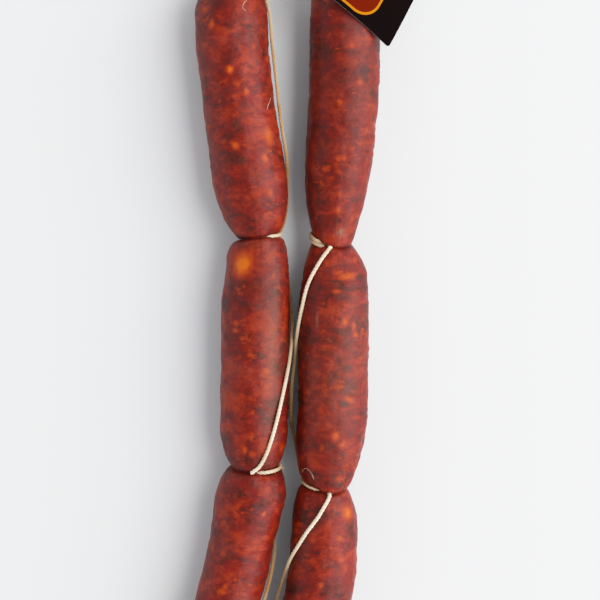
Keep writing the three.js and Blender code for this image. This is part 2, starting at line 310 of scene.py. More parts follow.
@dataclass(frozen=True)
class CasingFinish:
    """Natural casing drawn over coarse red meat with orange fat. Sizes in mm."""

    # lean also colours the painted shade in the creases round the ties
    lean: Colour = colour("#2d0c07")
    meat: Colour = colour("#530b05")
    bright: Colour = colour("#721b05")
    fat_rim: Colour = colour("#761f04")
    fat: Colour = colour("#9a3a04")
    fat_core: Colour = colour("#ac4801")
    bloom: Colour = colour("#583029")
    # pale also colours a painted highlight band on one link
    pale: Colour = colour("#724c3a")
    gloss: float = 0.1
    roughness: float = 0.36  # the fine grain adds to it
    grain_roughness: float = 0.2
    inner_glow: float = 0.12
    glow_reach: float = 1.6
    squeeze: tuple[float, float, float] = (0.8, 1.2, 0.8)  # makes the grain run round the links
    thread_squeeze: tuple[float, float, float] = (0.55, 1.4, 0.55)
    wrinkle_squeeze: tuple[float, float, float] = (0.5, 1.4, 0.5)
    patch_size: float = 21.0
    chunk_size: float = 8.5
    fine_size: float = 2.4
    thread_size: float = 0.8
    tone_shares: tuple[float, float, float, float] = (0.54, 0.2, 0.2, 0.06)  # chunks, patches, fine, threads
    red_at: tuple[float, float] = (0.37, 0.52)  # tones over which lean meat turns red
    bright_at: tuple[float, float] = (0.5, 0.62)  # tones over which it turns bright
    dry_size: float = 16.0
    speck_size: float = 1.1
    bloom_share: float = 0.25
    amber_size: float = 12.0
    amber_share: float = 0.5
    fat_area_size: float = 14.0
    fat_drift_size: float = 3.0
    fat_drift: float = 4.0  # how far the drift bends the fat
    large_piece: tuple[float, float, float] = (5.2, 0.68, 0.5)  # size, share of cells without one, strength
    small_piece: tuple[float, float, float] = (2.8, 0.66, 0.36)
    wisp: tuple[float, float] = (10.0, 0.42)  # size, strength
    small_apart: tuple[float, float, float] = (0.31, 0.17, 0.53)  # m, parts its noise from the large ones'
    wisp_apart: tuple[float, float, float] = (0.7, 0.4, 0.2)
    dark_share: float = 0.85
    wrinkle_size: float = 1.2
    pebble_size: float = 2.8
    grain_size: float = 0.5
    relief_depth: float = 0.55

    def material(self) -> bpy.types.Material:
        """Build the material.

        Returns:
            The material, which reads the mesh colours named marks: fat, dark and pale.
        """
        s = Surface("casing")
        here = s.place()
        round_ = s.place(self.squeeze)
        fine = s.noise(round_, self.fine_size * MM, 4.0, 0.65, 0.4)
        threads = s.noise(s.place(self.thread_squeeze), self.thread_size * MM, 3.0, 0.65, 0.6)
        marks = s.add("ShaderNodeAttribute", {}, {"attribute_name": "marks"}, "Color")
        fat_mark, lean_and_shade_mark, pale_and_highlight_mark = (s.channel(marks, name) for name in ("Red", "Green", "Blue"))
        body = self.meat_colour(s, here, round_, fine, threads)
        fat = self.scattered_fat(s, here, round_, threads).larger(fat_mark * (fine * 0.7 + 0.6))
        amber = s.noise(here, self.amber_size * MM, 3.0, 0.6).between(0.52, 0.7) * fine.between(0.35, 0.6)
        body = s.blend(body, self.fat_rim, amber * self.amber_share)
        # The dark channel darkens to lean meat, and also paints shade into the creases round the ties.
        body = s.blend(body, self.lean, lean_and_shade_mark * self.dark_share)
        body = s.blend(body, self.fat_rim, fat.between(0.02, 0.5) * 0.9)
        body = s.blend(body, self.fat, fat.between(0.25, 1.05))
        body = s.blend(body, self.fat_core, fat_mark.between(0.78, 1.3))
        # The pale channel holds pale scuffs and a painted highlight band on the left middle link's right
        # flank.
        body = s.blend(body, self.pale, pale_and_highlight_mark)
        return s.finish({
            "Base Color": body,
            "Roughness": fine * self.grain_roughness + self.roughness,
            "Normal": s.bump(self.relief(s, here), self.relief_depth * MM, 0.9),
            "Specular IOR Level": self.gloss,
            "Subsurface Weight": self.inner_glow,
            "Subsurface Radius": (1.0, 0.25, 0.12),
            "Subsurface Scale": self.glow_reach * MM,
        })

    def meat_colour(self, s: Surface, here: Value, round_: Value, fine: Value, threads: Value) -> Value:
        """Lean, red and bright meat in patches, chunks and threads, under a thin dry bloom.

        Args:
            s: The material.
            here: The point.
            round_: The point, squeezed so that the grain runs round the links.
            fine: The fine grain.
            threads: The finest grain.

        Returns:
            The colour.
        """
        patches = s.noise(here, self.patch_size * MM, 2.0)
        chunks = s.noise(round_, self.chunk_size * MM, 3.0, 0.58, 0.8)
        chunk_share, patch_share, fine_share, thread_share = self.tone_shares
        tone = chunks * chunk_share + patches * patch_share + fine * fine_share + threads * thread_share
        body = s.blend(self.lean, self.meat, tone.between(*self.red_at))
        body = s.blend(body, self.bright, tone.between(*self.bright_at) * 0.9)
        body = s.blend(body, self.lean, threads.between(0.48, 0.3) * 0.2)
        body = s.blend(body, self.bright, threads.between(0.54, 0.72) * 0.3)
        dry = s.noise(here, self.dry_size * MM, 3.0, 0.6).between(0.5, 0.68)
        specks = s.noise(here, self.speck_size * MM, 3.0, 0.7).between(0.3, 0.65)
        return s.blend(body, self.bloom, dry * specks * self.bloom_share)

    def scattered_fat(self, s: Surface, here: Value, round_: Value, threads: Value) -> Value:
        """Large pieces, small pieces and wisps of fat, more of them in some areas.

        Args:
            s: The material.
            here: The point.
            round_: The point, squeezed so that the grain runs round the links.
            threads: The finest grain.

        Returns:
            How much fat there is, from 0.
        """
        drift = s.noise(here, self.fat_drift_size * MM, 3.0, 0.6, output="Color")
        bent = s.vector("ADD", round_, s.vector("MULTIPLY", drift, (self.fat_drift * MM,) * 3))
        areas = s.noise(here, self.fat_area_size * MM, 2.0).between(0.4, 0.58)
        size, least, strength = self.large_piece
        fat = self.pieces(s, bent, size * MM, least) * strength
        size, least, strength = self.small_piece
        apart = s.vector("ADD", bent, self.small_apart)
        fat = fat.larger(self.pieces(s, apart, size * MM, least) * strength)
        size, strength = self.wisp
        apart = s.vector("ADD", bent, self.wisp_apart)
        fat = fat.larger(self.wisps(s, apart, size * MM) * strength)
        return fat * (areas * 0.8 + 0.2) * (threads * 0.6 + 0.7)

    def relief(self, s: Surface, here: Value) -> Value:
        """Wrinkles, pebbles and grain of the skin.

        Args:
            s: The material.
            here: The point.

        Returns:
            The height, from 0 to 1.
        """
        wrinkles = s.noise(s.place(self.wrinkle_squeeze), self.wrinkle_size * MM, 3.0, 0.6, 0.5)
        pebbles = s.noise(here, self.pebble_size * MM, 2.0, 0.5)
        grain = s.noise(here, self.grain_size * MM, 2.0, 0.6)
        return wrinkles * 0.38 + pebbles * 0.46 + grain * 0.16

    def wisps(self, s: Surface, place: Value, size: float) -> Value:
        """Thin broken curls of fat.

        Args:
            s: The material.
            place: Where the noise behind them is sampled.
            size: Size of a curl in metres.

        Returns:
            1 along the middle of a curl, 0 outside.
        """
        level = s.noise(place, size, 2.0, 0.6) - 0.5
        broken = s.noise(place, size * 0.5, 1.0).between(0.48, 0.68)
        return level.larger(level * -1.0).between(0.05, 0.0) * broken

    def pieces(self, s: Surface, place: Value, size: float, least: float) -> Value:
        """Soft-edged pieces of fat in some of the cells.

        Args:
            s: The material.
            place: Where the cells are sampled.
            size: Size of a cell in metres.
            least: Cells whose random number is over this hold a piece.

        Returns:
            1 in the middle of a piece, 0 outside.
        """
        chosen = s.channel(s.cells(place, size, "Color"), "Red").between(least, least + 0.06)
        return chosen * s.cells(place, size, "Distance").between(0.62, 0.05)


@dataclass(frozen=True)
class TwineFinish:
    """Soft cream cotton, a little stained, and browner low down between the links, partly from grease and
    partly as painted shade and red bounce light. Sizes in mm.
    """

    cotton: Colour = colour("#cbb699")
    stain_and_shade: Colour = colour("#8e6027")
    stain_size: float = 14.0
    fibre_size: float = 0.22
    fibre_depth: float = 0.12
    clean_height: float = 27.0  # above it the twine is as cream as it gets
    brown_height: float = 13.0  # below it it is as brown as it gets

    def material(self) -> bpy.types.Material:
        """Build the material.

        Returns:
            The material.
        """
        s = Surface("twine")
        here = s.place()
        stained = s.noise(here, self.stain_size * MM, 3.0, 0.6).between(0.42, 0.72)
        fibres = s.noise(here, self.fibre_size * MM, 3.0, 0.65)
        level = s.add("ShaderNodeSeparateXYZ", {"Vector": here}, output="Z")
        # Painted shade: the twine browns towards the table, partly grease and partly painted shade and red
        # bounce light low between the links.
        low = level.between(self.clean_height * MM, self.brown_height * MM)
        body = s.blend(self.cotton, self.stain_and_shade, stained * 0.35 + fibres.between(0.6, 0.3) * 0.2 + low * 0.8)
        return s.finish({
            "Base Color": body,
            "Roughness": 0.86,
            "Normal": s.bump(fibres, self.fibre_depth * MM),
            "Specular IOR Level": 0.3,
            "Subsurface Weight": 0.25,
            "Subsurface Radius": (1.0, 0.8, 0.6),
            "Subsurface Scale": 0.6 * MM,
            "Sheen Weight": 0.25,
        })


@dataclass(frozen=True)
class CardFinish:
    """Smooth black printed card with a plain lined field and a grey cut edge. Lengths in mm."""

    black: Colour = colour("#070404")
    red: Colour = colour("#440c03")
    line: Colour = colour("#914d06")
    core: Colour = colour("#57504c")
    field_middle: tuple[float, float] = (27.2, 22.5)  # along and across the card
    field_half: tuple[float, float] = (13.0, 20.5)
    field_corner: float = 10.0
    line_width: float = 1.1
    softness: float = 0.12  # half the width over which the print's edges fade

    def print_material(self) -> bpy.types.Material:
        """Build the printed face's material.

        Returns:
            The material, which reads the mesh colours named print: places along and across the card
            in units of 100 mm.
        """
        s = Surface("tag_print")
        place = s.add("ShaderNodeAttribute", {}, {"attribute_name": "print"}, "Color")
        squares = []
        for name, middle, half in zip(("Red", "Green"), self.field_middle, self.field_half):
            away = (s.channel(place, name) * PRINT_UNIT - middle).math("ABSOLUTE")
            past = (away - (half - self.field_corner)).larger(0.0)
            squares.append(past * past)
        depth = (squares[0] + squares[1]).math("SQRT") - self.field_corner
        edge = self.softness
        body = s.blend(self.black, self.line, depth.between(edge, -edge))
        body = s.blend(body, self.red, depth.between(edge - self.line_width, -edge - self.line_width))
        grain = s.noise(s.place(), 0.35 * MM, 2.0)
        return s.finish({
            "Base Color": body,
            "Roughness": grain * 0.1 + 0.5,
            "Normal": s.bump(grain, 0.02 * MM, 0.5),
            "Specular IOR Level": 0.0,
        })

    def edge_material(self) -> bpy.types.Material:
        """Build the cut edge's material.

        Returns:
            The material.
        """
        s = Surface("tag_edge")
        fibres = s.noise(s.place(), 0.3 * MM, 2.0)
        body = s.blend(self.core, self.black, fibres.between(0.4, 0.7) * 0.6)
        return s.finish({"Base Color": body, "Roughness": 0.8, "Normal": s.bump(fibres, 0.05 * MM)})


class Side(Enum):
    """The two strands, as the photo shows them."""

    LEFT = "left"
    RIGHT = "right"


class MarkKind(Enum):
    """What a mark on the casing is, and its channel in the mesh colours."""

    FAT = 0
    # dark lean meat, and painted shade in the creases round the ties
    DARK = 1
    # pale scuffs, and a painted highlight band down the left middle link's right flank
    PALE = 2


@dataclass(frozen=True)
class Tie:
    """A tied neck and the twine round it. Lengths in mm.

    The links' ends close over the twine, but for a stretch round an open side.
    """

    y: float
    x: float
    neck: float  # radius
    half: float  # half the groove's width
    slant_x: float  # how far its plane leans along the strand for each mm across
    slant_z: float  # the same for each mm up
    turn: float  # how far the twine goes round, degrees
    spread: float  # how far to each side of the middle it winds
    shift: float = 0.0  # how far the winding is moved along the neck
    stack: float = 0.0  # how far its end lies over its start
    open_side: float = 0.0  # angle from straight up towards +X, degrees
    open_half: float = 180.0  # degrees to each side of it
    least: float = 0.0  # how far they close there too
    flank: float = 1.0  # how much of the closing is left at the flanks

    def sunk(self, angle: np.ndarray) -> np.ndarray:
        """How far the twine sinks between the links' ends at angles in radians, from 0 to 1."""
        away = np.abs((np.degrees(angle) - self.open_side + 180) % 360 - 180)
        return self.least + (1 - self.least) * smooth((away - self.open_half) / CLOSING_EDGE)

    def closed(self, angle: np.ndarray) -> np.ndarray:
        """How far the links' ends close over the twine at angles in radians, from 0 to 1."""
        return self.sunk(angle) * (self.flank + (1 - self.flank) * np.maximum(0, np.cos(angle)) ** 0.7)


@dataclass(frozen=True)
class Swell:
    """A broad bump or dent of a link. Lengths in mm."""

    at: float  # distance below the upper tie
    side: float  # angle from straight up towards +X, degrees
    most: float  # height, less than 0 for a dent
    reach: float  # along the link


@dataclass(frozen=True)
class Mark:
    """A spot on a link. Lengths in mm."""

    at: float  # distance below the upper tie
    side: float  # angle from straight up towards +X, degrees
    along: float  # half its length along the link
    across: float  # half its length round the link
    strength: float
    kind: MarkKind = MarkKind.FAT
    tilt: float = 0.0  # degrees


@dataclass(frozen=True)
class Link:
    """One sausage between two ties, and the twine's run over it."""

    line: tuple[float, float]  # x of its middle line at the upper and the lower tie
    bow: float  # how far that line bows towards +X
    radii: tuple[float, float]  # at the upper and the lower tie, were its ends not rounded
    upper: tuple[float, float]  # length and shape of its rounded upper end
    lower: tuple[float, float]  # length and shape of its rounded lower end
    swells: tuple[Swell, ...]
    run: tuple[tuple[float, float, float], ...]  # distance below the upper tie, angle, lift
    marks: tuple[Mark, ...] = ()


def mark_values(link: Link, distance: np.ndarray, angle: np.ndarray, girth: np.ndarray,
                ragged: np.ndarray) -> np.ndarray:
    """Strength of the marks of a link at points of its skin.

    Args:
        link: The link.
        distance: Distance below the upper tie of each point, mm.
        angle: Angle of each point from straight up, radians.
        girth: Radius at each point, mm.
        ragged: Random offsets that roughen the marks' outlines, two columns, mm.

    Returns:
        One row for each point and one column for each MarkKind.
    """
    found = np.zeros((len(distance), 3))
    for mark in link.marks:
        down = distance - mark.at + ragged[:, 0]
        turn = (angle - math.radians(mark.side) + math.pi) % (2 * math.pi) - math.pi
        round_ = turn * girth + ragged[:, 1]
        tilt = math.radians(mark.tilt)
        u = (down * math.cos(tilt) + round_ * math.sin(tilt)) / mark.along
        v = (-down * math.sin(tilt) + round_ * math.cos(tilt)) / mark.across
        value = mark.strength * np.exp(-((u * u + v * v) ** MARK_FALLOFF))
        column = mark.kind.value
        found[:, column] = np.maximum(found[:, column], value)
    return found


@dataclass(frozen=True)
class Relief:
    """Fine relief of a casing: lumps and knobs of meat, ripples round it, pleats at its ties. Sizes in mm."""

    apart: float  # parts one strand's noise from the other's
    lump_size: float = 9.0
    lump_height: float = 0.42
    knob_size: float = 4.2
    knob_height: float = 0.26
    ripple_size: float = 1.9  # along the strand
    ripple_group: float = 16.0  # how far along the strand a group of ripples goes
    ripple_height: float = 0.34
    ripple_right: float = 0.34  # what the right flank adds to that
    ripple_spread: float = 1.1  # how fast the ripples change round the strand
    group_spread: float = 2.0  # how fast their groups do
    group_bias: float = 0.3  # more for ripples in more places
    pleat_spread: float = 9.0  # how fast the pleats do
    pleat_length: float = 26.0
    pleat_height: float = 0.176
    pleat_least: float = 0.011  # what is left of that on a link's full girth

    def height(self, y: float, sine: float, cosine: float, girth: float, full: float) -> float:
        """The relief at a point of the skin.

        Args:
            y: Height along the strand.
            sine: Sine of the angle from straight up.
            cosine: Its cosine.
            girth: Radius there.
            full: How much of its full girth the link has there.

        Returns:
            The height over the smooth skin.
        """
        lumps = noise.noise(Vector((girth * sine + self.apart, y, girth * cosine)) / self.lump_size)
        knobs = noise.noise(Vector((girth * sine, y + self.apart, girth * cosine)) / self.knob_size)
        wide = self.ripple_spread
        ripple = noise.noise(Vector((sine * wide + self.apart, y / self.ripple_size, cosine * wide)))
        wide = self.group_spread
        group = noise.noise(Vector((sine * wide, y / self.ripple_group + self.apart, cosine * wide)))
        wide = self.pleat_spread
        pleat = noise.noise(Vector((sine * wide, y / self.pleat_length + self.apart, cosine * wide)))
        body = min(1.0, max(0.0, full))
        meat = lumps * self.lump_height + knobs * self.knob_height
        tall = self.ripple_height + self.ripple_right * max(0.0, sine)
        ripples = ripple * max(0.0, group + self.group_bias) * tall
        pleats = pleat * (max(0.0, 1 - full) ** 0.8 * self.pleat_height + self.pleat_least)
        return (meat + ripples) * body + pleats


@dataclass(frozen=True)
class Strand:
    """Three links in one casing, and the route of their twine. Sizes in mm."""

    side: Side
    ties: tuple[Tie, ...]
    links: tuple[Link, ...]
    lint: tuple[tuple[tuple[float, float, float], ...], ...] = ()  # stray fibres: height, angle, lift
    columns: int = 144
    row_step: float = 0.78
    close_reach: float = 5.0  # how far from a tie's groove the rows stand closer together
    close_step: float = 0.26
    least_step: float = 0.04  # rows nearer than that are joined

    def section(self, y: np.ndarray) -> dict[str, np.ndarray]:
        """The cross-sections at heights along the strand.

        Args:
            y: The heights.

        Returns:
            Centre x and z, radius, slants, fullness, distance below the upper tie and link number.
        """
        first, last = self.ties[0], self.ties[-1]
        keys = ("x", "z", "radius", "slant_x", "slant_z", "full", "distance")
        out = {key: np.zeros(len(y)) for key in keys}
        out["link"] = np.full(len(y), -1)
        for tie, past in ((first, y - first.y), (last, last.y - y)):
            here = past > 0
            share = np.clip((past[here] - tie.half) / TAIL_LENGTH, 0, 1)
            flare = np.interp(share, TAIL_SHARES, TAIL_FLARES)
            out["x"][here] = tie.x
            out["z"][here] = NECK_HEIGHT
            out["radius"][here] = tie.neck + (TAIL_RADIUS - tie.neck) * flare
            out["slant_x"][here] = tie.slant_x
            out["slant_z"][here] = tie.slant_z
            out["distance"][here] = past[here]
        for k, link in enumerate(self.links):
            above, below = self.ties[k], self.ties[k + 1]
            here = (y <= above.y) & (y > below.y) if k else (y <= above.y) & (y >= below.y)
            distance = above.y - y[here]
            left = y[here] - below.y
            share = distance / (above.y - below.y)
            top = rise((distance - above.half) / link.upper[0], link.upper[1])
            foot = rise((left - below.half) / link.lower[0], link.lower[1])
            body = link.radii[0] + (link.radii[1] - link.radii[0]) * share
            line = link.line[0] + (link.line[1] - link.line[0]) * share + link.bow * 4 * share * (1 - share)
            full = top + foot - 1
            out["x"][here] = line * full + above.x * (1 - top) + below.x * (1 - foot)
            out["z"][here] = (ROUNDNESS * body - REST_FLAT) * full + NECK_HEIGHT * (2 - top - foot)
            out["radius"][here] = body * full + above.neck * (1 - top) + below.neck * (1 - foot)
            near_top = 1 - smooth(distance / LEAN_REACH)
            near_foot = 1 - smooth(left / LEAN_REACH)
            out["slant_x"][here] = above.slant_x * near_top + below.slant_x * near_foot
            out["slant_z"][here] = above.slant_z * near_top + below.slant_z * near_foot
            out["full"][here] = full
            out["distance"][here] = distance
            out["link"][here] = k
        return out

    def drawn(self, y: np.ndarray, angle: np.ndarray, share: np.ndarray | float) -> np.ndarray:
        """The heights whose sections stand at heights y, where the links' ends close over their ties.

        Args:
            y: Heights along the strand.
            angle: Angles from straight up, radians.
            share: How much of the closing counts.

        Returns:
            The heights to take the sections at.
        """
        out = y.copy()
        for tie in self.ties:
            away = y - tie.y
            near = 1 - smooth(np.abs(away) / CLOSING_REACH)
            out += np.where(away > 0, 1.0, -1.0) * CLOSING * near * tie.closed(angle) * share
        return out

    def skin(self, y: np.ndarray, angle: np.ndarray, relief: np.ndarray | float = 0.0,
             share: np.ndarray | float = 1.0) -> np.ndarray:
        """Points of the skin.

        Args:
            y: Heights along the strand.
            angle: Angles from straight up towards +X, radians.
            relief: Height of fine relief at each point.
            share: How much the links' ends close over their ties, from 0 to 1.

        Returns:
            One row of x, y and z for each point.
        """
        section = self.section(self.drawn(y, angle, share))
        for tie in self.ties[1:-1]:
            relief = relief - CREASE * tie.closed(angle) * np.exp(-((y - tie.y) / CREASE_WIDTH) ** 2) * share
        bump = np.zeros(len(y))
        for k, link in enumerate(self.links):
            here = section["link"] == k
            for swell in link.swells:
                facing = np.maximum(0, np.cos(angle[here] - math.radians(swell.side)))
                reach = np.exp(-((section["distance"][here] - swell.at) / swell.reach) ** 2)
                bump[here] += swell.most * reach * facing ** 2
        radius = section["radius"] + bump * section["full"] + relief
        across = radius * np.sin(angle)
        z = np.maximum(0, section["z"] + ROUNDNESS * radius * np.cos(angle))
        slanted = y + section["slant_x"] * across + section["slant_z"] * (z - section["z"])
        return np.column_stack([section["x"] + across, slanted, z])

    def over_skin(self, y: np.ndarray, angle: np.ndarray, height: np.ndarray,
                  share: np.ndarray) -> np.ndarray:
        """Points over the skin, along its normals.

        Args:
            y: Heights along the strand.
            angle: Angles from straight up, radians.
            height: Heights over the skin.
            share: How much the links' ends close over their ties, from 0 to 1.

        Returns:
            One row of x, y and z for each point.
        """
        step = 0.05
        along = self.skin(y + step, angle, 0.0, share) - self.skin(y - step, angle, 0.0, share)
        round_ = self.skin(y, angle + step, 0.0, share) - self.skin(y, angle - step, 0.0, share)
        normal = np.cross(round_, along)
        normal /= np.linalg.norm(normal, axis=1)[:, None]
        return self.skin(y, angle, 0.0, share) + normal * height[:, None]

    def rows(self) -> np.ndarray:
        """Heights of the mesh's rings, closer together round the ties.

        Returns:
            The heights from the lower end up.
        """
        low = self.ties[-1].y - self.ties[-1].half - TAIL_LENGTH
        high = self.ties[0].y + self.ties[0].half + TAIL_LENGTH
        heights = [np.arange(low, high, self.row_step), [high]]
        for tie in self.ties:
            reach = tie.half + self.close_reach
            near = np.arange(max(low, tie.y - reach), min(high, tie.y + reach), self.close_step)
            heights.append(near)
            heights.append(np.array([-tie.half, tie.half]) + tie.y)
        found = np.unique(np.round(np.concatenate(heights), 3))
        return found[np.append(True, np.diff(found) > self.least_step)]

    def relief(self, y: np.ndarray, angle: np.ndarray) -> np.ndarray:
        """The fine relief at points of the skin.

        Args:
            y: Heights along the strand.
            angle: Angles from straight up, radians.

        Returns:
            The relief at each point, mm.
        """
        section = self.section(y)
        relief = Relief(300.0 if self.side is Side.RIGHT else 0.0)
        points = zip(y, np.sin(angle), np.cos(angle), section["radius"], section["full"])
        return np.array([relief.height(*point) for point in points])

    def marks(self, y: np.ndarray, angle: np.ndarray) -> np.ndarray:
        """The strength of each kind of mark at points of the skin, with painted shade in the creases round
        the ties.

        Args:
            y: Heights along the strand.
            angle: Angles from straight up, radians.

        Returns:
            One row for each point and one column for each MarkKind.
        """
        section = self.section(y)
        layers = (3.0, 9.0)
        rough = MARK_RAGGED * np.array([
            [noise.noise(Vector((a * 6, h / MARK_GRAIN, layer))) for layer in layers]
            for h, a in zip(y, angle)
        ])
        out = np.zeros((len(y), 3))
        for k, link in enumerate(self.links):
            here = section["link"] == k
            distance, girth = section["distance"][here], section["radius"][here]
            out[here] = mark_values(link, distance, angle[here], girth, rough[here])
        # Painted shade: the dark channel is raised in a ragged band along the crease at each middle tie.
        for tie in self.ties[1:-1]:
            shade = TIE_SHADE * np.exp(-((y - tie.y + rough[:, 0] * 0.3) / TIE_SHADE_WIDTH) ** 2)
            column = MarkKind.DARK.value
            out[:, column] = np.maximum(out[:, column], shade)
        return out

    def casing(self, material: bpy.types.Material) -> bpy.types.Object:
        """Build the strand's casing as a fine grid, closed at both ends.

        Args:
            material: Its finish.

        Returns:
            The object.
        """
        rows = self.rows()
        turns = (np.arange(self.columns) + 0.5) * 2 * math.pi / self.columns
        y = np.repeat(rows, self.columns)
        angle = np.tile(turns, len(rows))
        points = self.skin(y, angle, self.relief(y, angle))
        ends = self.section(rows[[0, -1]])
        poles = np.column_stack([ends["x"], rows[[0, -1]], ends["z"]])
        faces = grid_faces(len(rows), self.columns)
        count = len(points)
        last = count - self.columns
        for i in range(self.columns):
            following = (i + 1) % self.columns
            faces.append((following, i, count))
            faces.append((last + i, last + following, count + 1))
        piece = make_piece(f"casing_{self.side.value}", np.vstack([points, poles]), faces, [material])
        values = np.vstack([self.marks(y, angle), np.zeros((2, 3))])
        paint(piece, "marks", values)
        return piece

    def route(self) -> np.ndarray:
        """The centre line of the strand's twine.

        Returns:
            Points from the top tie down, mm.
        """
        stretches = []
        angle = self.links[0].run[0][1] - self.ties[0].turn
        for k, tie in enumerate(self.ties):
            wound = ring(tie, angle, tie.turn, tie.spread, tie.shift, tie.stack)
            stretches.append(self.places(wound, 0.0))
            angle = wound[-1][1]
            if k < len(self.links):
                run = np.array(self.links[k].run, dtype=float)
                run[:, 1] += 360 * round((angle - run[0, 1]) / 360)
                laid = [(tie.y - d, a, max(0.0, lift)) for d, a, lift in spline(run, RUN_POINTS)]
                stretches.append(self.places(laid, 1.0))
                angle = laid[-1][1]
        return np.vstack(stretches)

    def places(self, points: list[tuple[float, float, float]], share: float) -> np.ndarray:
        """Turn points of height, angle in degrees and lift into places over the skin.

        Args:
            points: The points.
            share: 1 for twine over the links' closed ends, 0 for twine under them.

        Returns:
            One row of x, y and z for each point.
        """
        y, degrees, lift = np.array(points).T
        angle = np.radians(degrees)
        sunk = sum(tie.sunk(angle) * (np.abs(y - tie.y) < CLOSING_REACH / 2) for tie in self.ties)
        hidden = smooth((sunk - 0.5) / 0.5)
        height = TWINE_RADIUS + CLEARANCE + lift - CINCH * hidden * (1 - share)
        return self.over_skin(y, angle, height, np.full(len(y), share))


def ring(tie: Tie, start: float, turn: float, spread: float, shift: float, stack: float = 0.0
         ) -> list[tuple[float, float, float]]:
    """The twine round a tie.

    Args:
        tie: The tie.
        start: Starting angle, degrees.
        turn: How far round it goes, degrees.
        spread: How far to each side of the middle it winds.
        shift: How far the winding is moved along the neck.
        stack: How far its end lies over its start.

    Returns:
        Points of height, angle and lift.
    """
    steps = math.ceil(abs(turn) / RING_STEP)
    shares = [i / steps for i in range(steps + 1)]
    return [(tie.y + shift + spread * math.cos(math.pi * t), start + turn * t, stack * t) for t in shares]


def spline(points: np.ndarray, count: int) -> np.ndarray:
    """A smooth curve through points.

    Args:
        points: One row for each point.
        count: How many stretches the result has.

    Returns:
        Points on the curve, evenly spread over the given ones.
    """
    steps = np.maximum(np.linalg.norm(np.diff(points, axis=0), axis=1), 1e-6) ** 0.5
    knots = np.concatenate([[0], np.cumsum(steps)])
    slopes = np.gradient(points, knots, axis=0)
    where = np.linspace(0, len(points) - 1, count + 1)
    k = np.minimum(where.astype(int), len(points) - 2)
    width = (knots[k + 1] - knots[k])[:, None]
    t = (where - k)[:, None]
    return ((2 * t ** 3 - 3 * t ** 2 + 1) * points[k] + (t ** 3 - 2 * t ** 2 + t) * width * slopes[k]
            + (-2 * t ** 3 + 3 * t ** 2) * points[k + 1] + (t ** 3 - t ** 2) * width * slopes[k + 1])


def even(points: np.ndarray, step: float) -> np.ndarray:
    """The points of a smooth curve through the given ones, a fixed step apart.

    Args:
        points: One row for each given point.
        step: How far apart the result's points are.

    Returns:
        One row for each point.
    """
    finer = 14
    fine = spline(points, len(points) * finer)
    lengths = np.concatenate([[0], np.cumsum(np.linalg.norm(np.diff(fine, axis=0), axis=1))])
    where = np.linspace(0, lengths[-1], max(2, round(lengths[-1] / step)))
    return np.column_stack([np.interp(where, lengths, fine[:, k]) for k in range(3)])


def grid_faces(rows: int, columns: int, start: int = 0) -> list[tuple[int, ...]]:
    """Faces of a tube of rings of points.

    Args:
        rows: How many rings.
        columns: Points in a ring.
        start: Number of the first point.

    Returns:
        The faces, facing outwards where the rings turn clockwise seen from their end.
    """
    faces = []
    for r in range(rows - 1):
        a = start + r * columns
        for c in range(columns):
            d = (c + 1) % columns
            faces.append((a + c, a + d, a + columns + d, a + columns + c))
    return faces


def make_piece(name: str, points: np.ndarray, faces: list[tuple[int, ...]],
               materials: list[bpy.types.Material], smooth_shaded: bool = True) -> bpy.types.Object:
    """Make a mesh object from points in mm in the sizes' own frame.

    Args:
        name: The piece's name.
        points: One row for each point.
        faces: Point numbers of each face.
        materials: Its materials.
        smooth_shaded: Whether its faces are shaded smooth.

    Returns:
        The object, placed in the shared frame.
    """
    mesh = bpy.data.meshes.new(name)
    mesh.from_pydata(((points - MIDDLE) * MM).tolist(), [], faces)
    for material in materials:
        mesh.materials.append(material)
    mesh.polygons.foreach_set("use_smooth", [smooth_shaded] * len(faces))
    mesh.update()
    piece = bpy.data.objects.new(name, mesh)
    bpy.context.scene.collection.objects.link(piece)
    log.info("%s: %d points, %d faces", name, len(points), len(faces))
    return piece


def paint(piece: bpy.types.Object, name: str, values: np.ndarray) -> None:
    """Give each point of a piece three numbers from 0 up, under a name that its material reads.

    Args:
        piece: The piece.
        name: The mesh colours' name.
        values: One row of three numbers for each point.
    """
    layer = piece.data.color_attributes.new(name=name, type="FLOAT_COLOR", domain="POINT")
    table = np.ones((len(values), 4), dtype=np.float32)
    table[:, :3] = values
    layer.data.foreach_set("color", table.ravel())


def settle(piece: bpy.types.Object, node: str) -> None:
    """Let a piece ride on the part in place of a CAD node.

    Args:
        piece: The piece.
        node: The node it stands for.
    """
    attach(piece, "root")
    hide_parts(node)


